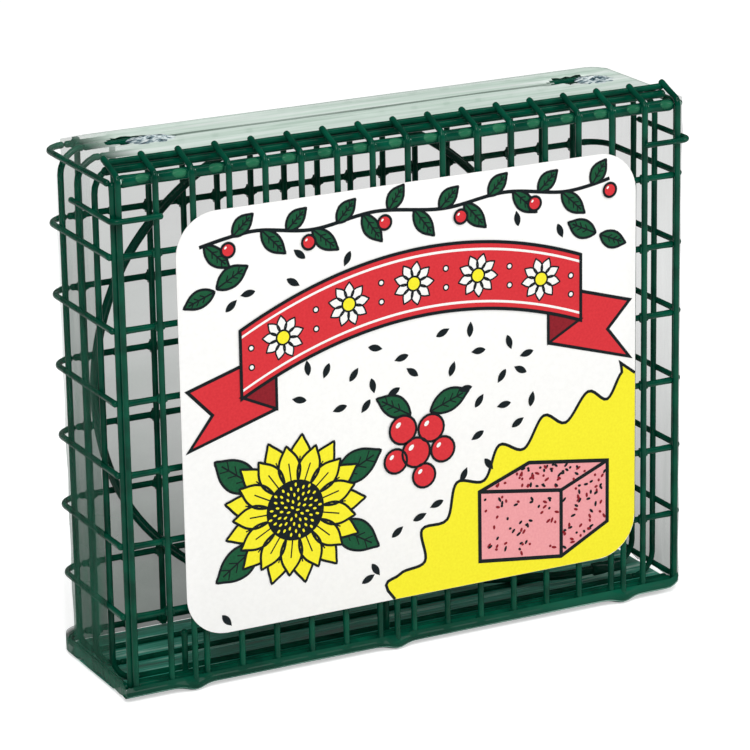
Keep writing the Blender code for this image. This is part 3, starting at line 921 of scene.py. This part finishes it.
def print_layer(name, shapes, layer, ink):
    """All shapes of one ink in one pass of the press, as a print piece just in front of the card."""
    low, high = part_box("label_card")
    depth = low[1] - DOOR_Y - layer * LABEL_LAYER
    middle = (low[2] + high[2]) / 2
    whole = bmesh.new()
    for index, points in enumerate(shapes):
        near = depth - 0.0008 * MM * (index % 16)
        whole.faces.new([whole.verts.new((across * MM, near, middle + up * MM)) for across, up in points])
    whole.normal_update()
    bmesh.ops.triangulate(whole, faces=whole.faces[:])
    for face in whole.faces:
        if face.normal.y > 0:
            face.normal_flip()
    piece("print_" + name, mesh_of(name, whole), "door", ink)


def card_corner(across, up, inset):
    """Points round one corner of the card, for fields that run off its edge."""
    half_w, half_h, turn_r = CARD_HALF_W - inset, CARD_HALF_H - inset, CARD_CORNER - inset
    middle = (across * (half_w - turn_r), up * (half_h - turn_r))
    start = {(1, 1): 0.0, (-1, 1): 0.5, (-1, -1): 1.0, (1, -1): 1.5}[(across, up)] * math.pi
    return [(middle[0] + turn_r * math.cos(start + math.pi / 2 * step / 6),
             middle[1] + turn_r * math.sin(start + math.pi / 2 * step / 6)) for step in range(7)]


def arch(x):
    """The middle line of the ribbon."""
    return 24 + 15 * (1 - (x / 66) ** 2) + 0.06 * x


def tip_of(points):
    """The point of a leaf or petal that is farthest from where it grows."""
    return max(points, key=lambda point: math.dist(point, points[0]))


def make_print():
    """A generic garden print: a ribbon of daisies, a sunflower, a vine, berries, seeds and a cake."""
    yellow = offset_ink("ink_yellow", "#F5EC2F", "#EFE428")
    red = offset_ink("ink_red", "#D9343B", "#CF2D35")
    maroon = offset_ink("ink_maroon", "#8F1B26", "#7F1420")
    black = offset_ink("ink_black", "#0B191D", "#071216")
    green = offset_ink("ink_green", "#155A38", "#0F4D2F")
    pink = offset_ink("ink_pink", "#EDA3A6", "#E6979B")
    white = offset_ink("ink_paper", "#F6F6F3", "#EFEFEC")
    chance = random.Random(4)

    # Field in the lower right corner
    waves = [(88.4, -7), (83, -6), (77, -15), (69, -11), (60, -21), (51, -17), (43, -28), (33, -25),
             (27, -37), (16, -36), (12, -49), (2, -51), (3, -63), (-7, -66), (-9, -74.9)]
    edge = [(88.4, -7.0)] + [point for point in rounded(waves + [(40, -120), (150, -60)])
                             if point[0] < 88 and point[1] > -74.6] + [(-9, -74.9)]
    print_layer("field", [edge + card_corner(1, -1, 0.1)], 1, yellow)
    print_layer("field_line", stroke(edge, 1.1, False), 2, black)

    # Ribbon of daisies
    tails = []
    folds = []
    for side in (-1, 1):
        tilt = 3.5 * side
        tails.append([(side * 53, 27 + tilt), (side * 86, 17 + tilt), (side * 77, 7.5 + tilt),
                      (side * 86, -4 + tilt), (side * 53, 6 + tilt)])
        folds.append([(side * 66, arch(side * 66) - 11.5), (side * 53, arch(side * 53) - 11.5),
                      (side * 53, 6 + tilt)])
    print_layer("tails", tails, 3, red)
    print_layer("tail_lines", strokes(tails, 1.2), 4, black)
    print_layer("folds", folds, 5, maroon)
    print_layer("fold_lines", strokes(folds, 1.0), 6, black)
    line = [(x, arch(x)) for x in range(-66, 67, 3)]
    band = [(x, y + 12) for x, y in line] + [(x, y - 12) for x, y in reversed(line)]
    print_layer("band", [band], 7, red)
    trims = [[(x, y + lift + 0.45) for x, y in line] + [(x, y + lift - 0.45) for x, y in reversed(line)]
             for lift in (9.4, -9.4)]
    daisies = [(x, arch(x)) for x in (-50, -25, 0, 25, 50)]
    petals = [leaf(x + 1.6 * math.cos(turn), y + 1.6 * math.sin(turn), 6.2, 3.6, turn)
              for x, y in daisies for turn in [math.pi * 2 * index / 9 + x for index in range(9)]]
    dots = [disc(x, arch(x) + rise, 1.0) for x in (-62, -37.5, -12.5, 12.5, 37.5, 62) for rise in (-3.4, 3.4)]
    print_layer("band_white", trims + petals + dots, 8, white)
    rings = [disc(x, y, 2.9) for x, y in daisies]
    print_layer("band_lines", stroke(band, 1.2) + strokes(petals, 0.55) + strokes(dots, 0.5) + rings,
                9, black)
    print_layer("daisy_hearts", [disc(x, y, 2.2) for x, y in daisies], 10, yellow)

    # Vine and leaves, some of them round the sunflower's place
    x0, y0 = -47, -35
    leaves = [leaf(x0 + 17 * math.cos(turn), y0 + 17 * math.sin(turn), 20, 11, turn, 0.08)
              for turn in (0.45, 2.5, 3.75, 5.75)]
    vine = [(-80, 63), (-60, 66), (-38, 63.5), (-14, 66.5), (12, 64), (36, 66.5), (60, 63.5), (78, 66)]
    vine = rounded(vine + list(reversed(vine))[1:-1])
    vine = vine[:len(vine) // 2]
    print_layer("vine", stroke(vine, 1.3, False), 2, black)
    for index, place in enumerate(vine[3:-2:6]):
        up = 1 if index % 2 else -1
        leaves.append(leaf(*place, 10.0 if up > 0 else 12.5, 5.8, up * chance.uniform(0.7, 1.0), 0.1 * up))
    leaves.extend([leaf(6, -8, 16, 8, 0.35, 0.1), leaf(-2, -8, 15, 7.5, 2.6, -0.1),
                   leaf(72, 47, 12, 6.5, 2.7, 0.1), leaf(74, 46, 11, 6, -0.4, -0.1),
                   leaf(-74, 48, 13, 7, 0.5, 0.1), leaf(-75, 47, 12, 6, 3.5, -0.1)])
    print_layer("leaves", leaves, 3, green)
    ribs = []
    for points in leaves:
        base, tip = Vector(points[0]), Vector(tip_of(points))
        ribs.extend(stroke([base, base.lerp(tip, 0.85)], 0.6, False))
        side = (tip - base) * 0.22
        for share in (0.3, 0.5, 0.68):
            root = base.lerp(tip, share)
            for spread in (0.75, -0.75):
                barb = Vector((side.x * math.cos(spread) - side.y * math.sin(spread),
                               side.x * math.sin(spread) + side.y * math.cos(spread)))
                ribs.extend(stroke([root, root + barb * 0.8], 0.45, False))
    print_layer("leaf_lines", strokes(leaves, 0.9) + ribs, 4, black)

    # Sunflower
    for ring, (count, reach, wide) in enumerate(((13, 27.0, 9.2), (13, 23.5, 8.2))):
        bloom = [leaf(x0 + 8 * math.cos(turn), y0 + 8 * math.sin(turn), reach - 8, wide, turn)
                 for turn in [math.pi * (2 * index + ring) / count for index in range(count)]]
        print_layer(f"petals_{ring}", bloom, 5 + 2 * ring, yellow)
        creases = [bar for points in bloom for bar in stroke(
            [points[0], Vector(points[0]).lerp(Vector(tip_of(points)), 0.6)], 0.5, False)]
        print_layer(f"petal_lines_{ring}", strokes(bloom, 0.9) + creases, 6 + 2 * ring, black)
    print_layer("heart", [disc(x0, y0, 11.0, count=32)], 9, black)
    kernels = []
    for index in range(60):
        out, turn = 9.8 * math.sqrt((index + 0.5) / 60), index * GOLDEN_TURN
        kernels.append(disc(x0 + out * math.cos(turn), y0 + out * math.sin(turn), 0.72, 0.42, turn, 8))
    print_layer("kernels", kernels, 10, yellow)

    # Berries
    berries = [(-5, -13, 5.2), (6, -14, 5.0), (0, -22, 5.4), (10.5, -22.5, 4.6), (-8, -24, 4.4),
               (3, -31, 4.4)]
    berries += [(x, y - 4.2, 2.5) for x, y in vine[8::18]]
    rounds = [disc(x, y, size, count=20) for x, y, size in berries]
    print_layer("berries", rounds, 9, red)
    print_layer("berry_lines", strokes(rounds, 0.9), 10, black)
    print_layer("berry_shine", [disc(x - size * 0.35, y + size * 0.38, size * 0.24, size * 0.15, 0.8, 8)
                                for x, y, size in berries], 11, white)

    # Seed cake
    front = [(25, -67), (58, -71), (58, -46), (25, -41)]
    end = [(58, -71), (77, -61), (77, -38), (58, -46)]
    top = [(25, -41), (58, -46), (77, -38), (45, -33.5)]
    print_layer("cake", [front, end, top], 3, pink)
    ridge = [stroke([(58, -46), corner], 1.4, False)[0] for corner in ((25, -41), (58, -71), (77, -38))]
    print_layer("cake_lines", stroke(front[:2] + end[1:3] + top[3:] + front[3:], 1.4) + ridge, 4, black)
    grains = []
    for index in range(150):
        u, v = chance.uniform(0.05, 0.95), chance.uniform(0.08, 0.92)
        low_left, low_right, high_right, high_left = (Vector(point) for point in (front, end, top)[index % 3])
        spot = low_left.lerp(low_right, u).lerp(high_left.lerp(high_right, u), v)
        grains.append(disc(spot.x, spot.y, chance.uniform(0.5, 1.1), 0.5, chance.uniform(0, 3), 8))
    print_layer("grains", grains[::2], 5, maroon)
    print_layer("dark_grains", grains[1::2], 5, black)

    # Seeds, clear of the rest
    seeds = []
    taken = [(x0, y0, 38), (1, -20, 23)]
    for index in range(700):
        across = chance.uniform(-81, 82)
        up = chance.uniform(-69, 58)
        beside = abs(across) < 70 and abs(up - arch(across)) < 17
        on_tail = abs(across) > 47 and -8 < up < 38
        on_field = up < (across + 12) * 0.8 - 62
        on_top = up > 54 or abs(across) > 60 and up > 40
        if not (beside or on_tail or on_field or on_top
                or any(math.dist((across, up), (x, y)) < size for x, y, size in taken)):
            seeds.append((across, up, chance.uniform(0, 6.2)))
            taken.append((across, up, 7.5))
    print_layer("seeds", [leaf(x, y, 5.6, 2.5, turn) for x, y, turn in seeds], 3, black)


# Floor, backdrop and lamps

def stage_floor():
    """A plain white floor that keeps the object's soft shadow."""
    floor = bmesh.new()
    bmesh.ops.create_grid(floor, x_segments=1, y_segments=1, size=6.0)
    bmesh.ops.translate(floor, vec=(0.0, 0.0, -0.0004), verts=floor.verts)
    mesh = mesh_of("floor", floor)
    material, tree, shader, place = blank("matt_white_floor", {
        "Roughness": 0.9, "Specular IOR Level": 0.1, "Base Color": linear("#FBFBFB"),
        "Emission Color": linear("#FFFFFF")})
    seen = add(tree, "LightPath")
    lift = add(tree, "Math", {"operation": "MULTIPLY", 1: 0.5}, {0: seen.outputs["Is Camera Ray"]})
    tree.links.new(lift.outputs[0], shader.inputs["Emission Strength"])
    mesh.materials.append(material)
    placed("floor", mesh)


def stage_world():
    """White behind the object, an even fill on it and a dimmer room for its gloss to mirror."""
    world = bpy.data.worlds.new("studio")
    world.use_nodes = True
    tree = world.node_tree
    tree.nodes.clear()
    seen = add(tree, "LightPath")
    behind = add(tree, "Math", {"operation": "MAXIMUM"},
                 {0: seen.outputs["Is Camera Ray"], 1: seen.outputs["Is Transmission Ray"]})
    level = rescaled(tree, behind.outputs[0], 0.42, 1.0)
    dimmed = add(tree, "Math", {"operation": "MULTIPLY_ADD", 1: -0.3},
                 {0: seen.outputs["Is Glossy Ray"], 2: level})
    sky = add(tree, "Background", {"Color": linear("#FFFFFF")}, {"Strength": dimmed.outputs[0]})
    out = add(tree, "OutputWorld", links={"Surface": sky.outputs[0]})
    bpy.context.scene.world = world


def softbox(name, place, size, power):
    """An area lamp, in watts, that looks at the middle of the object."""
    lamp = bpy.data.lights.new(name, "AREA")
    lamp.shape = "RECTANGLE"
    lamp.size, lamp.size_y = size
    lamp.energy = power
    item = placed(name, lamp)
    item.location = place
    item.rotation_euler = (Vector((0.0, 0.0, 0.1)) - Vector(place)).to_track_quat("-Z", "Y").to_euler()


set_camera()
make_cable()
VINYL = dipped_vinyl("dipped_vinyl", "#003829", "#004E39", 0.16)
make_door()
make_side("left_mesh", "left_grille", -1)
make_side("right_mesh", "right_grille", 1)
make_back()
make_cross_wires()
make_hooks()
make_ears()
make_drip_beads()
make_label()
make_print()
make_film()
make_foot_film()
stage_floor()
stage_world()
softbox("key_softbox", (-0.55, -1.1, 1.25), (0.7, 0.5), 12)
softbox("side_softbox", (1.2, -0.7, 0.8), (0.5, 0.7), 5)
softbox("top_strip", (0.1, -0.35, 1.1), (1.2, 0.12), 2.5)
bpy.context.scene.view_settings.view_transform = "Standard"
